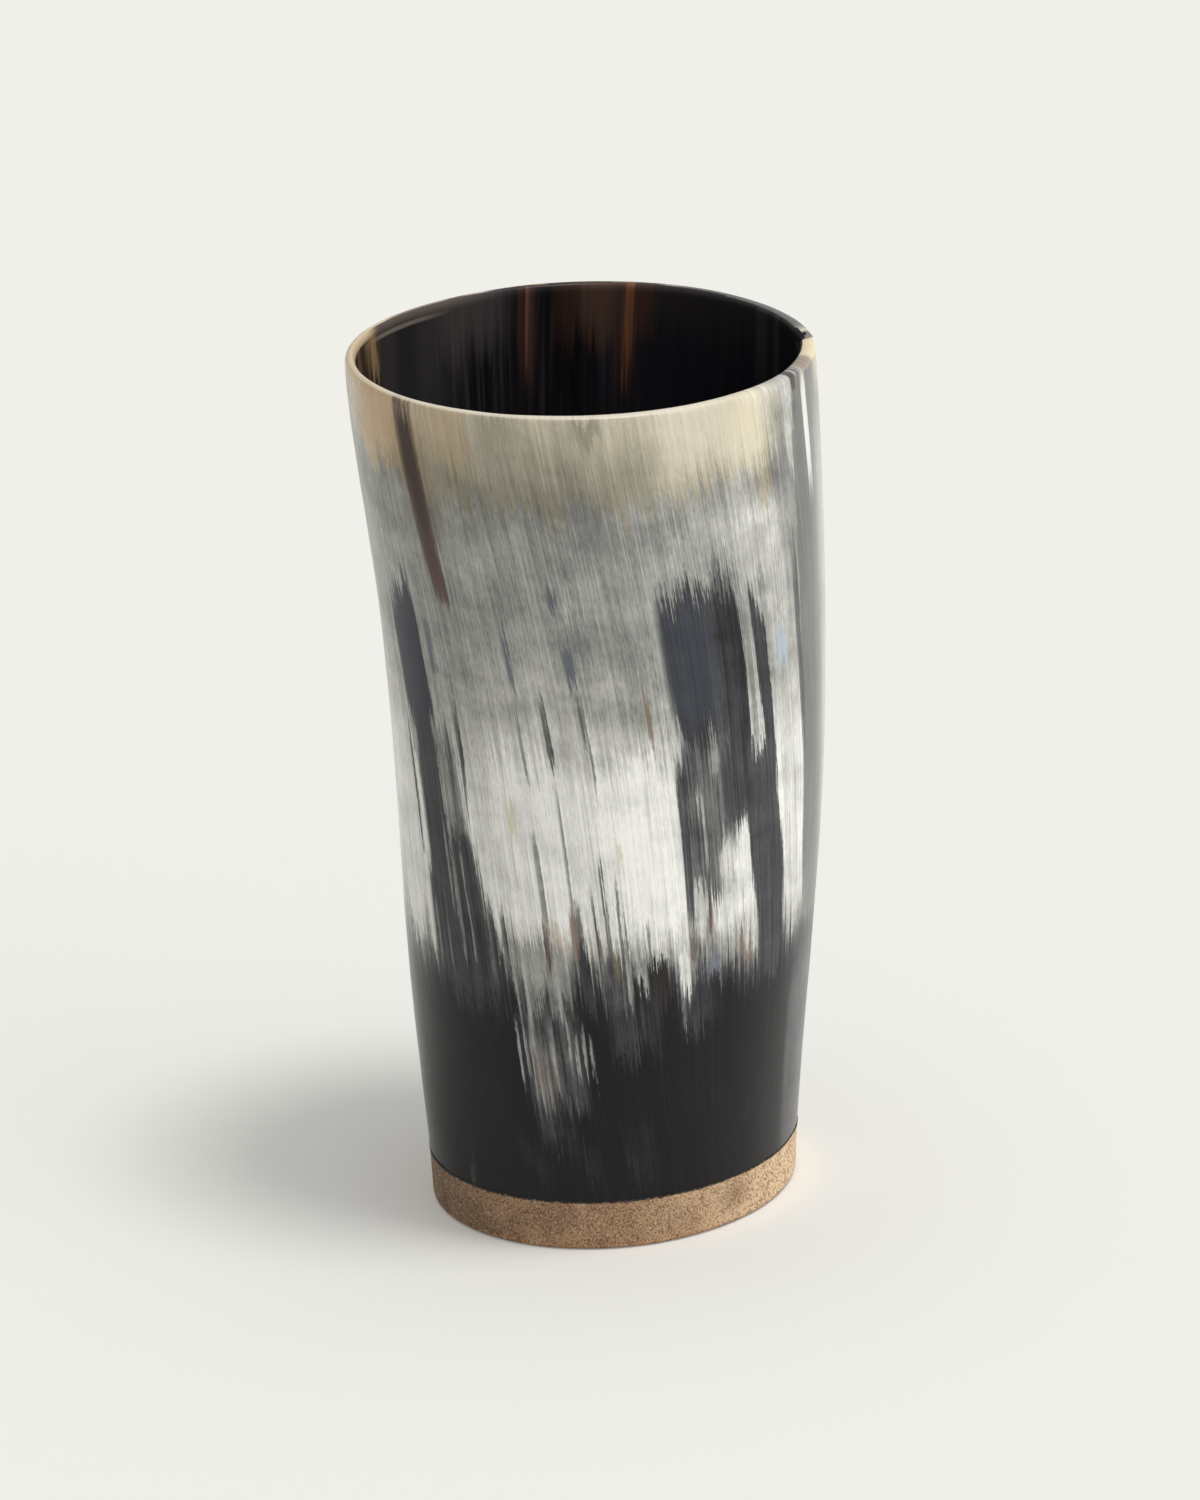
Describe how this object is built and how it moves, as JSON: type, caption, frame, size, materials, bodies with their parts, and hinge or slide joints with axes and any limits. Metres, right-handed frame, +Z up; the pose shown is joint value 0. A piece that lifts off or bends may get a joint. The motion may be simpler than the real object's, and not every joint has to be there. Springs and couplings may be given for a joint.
{
  "type": "horn drinking cup",
  "caption": "Tall handleless drinking cup: a leaning oval horn wall with a rounded lip, bonded to a flush wooden base and sealed inside.",
  "frame": {"origin": "middle of the wooden base's underside, on the surface that the cup stands on", "axes": "+Z up out of the mouth; the horn leans towards -X; -Y is the side that the picture shows"},
  "size_m": [0.0803, 0.0776, 0.15],
  "materials": {
    "horn": "polished cattle horn, streaked cream, grey and black",
    "wood": "sanded and oiled mid-brown hardwood with open pores",
    "glue": "dark cured adhesive",
    "seal": "clear food-safe coat over the wood"
  },
  "bodies": {
    "root": {"horn_body": "horn", "wood_base": "wood", "glue_seam": "glue", "floor_coat": "seal"}
  },
  "joints": []
}
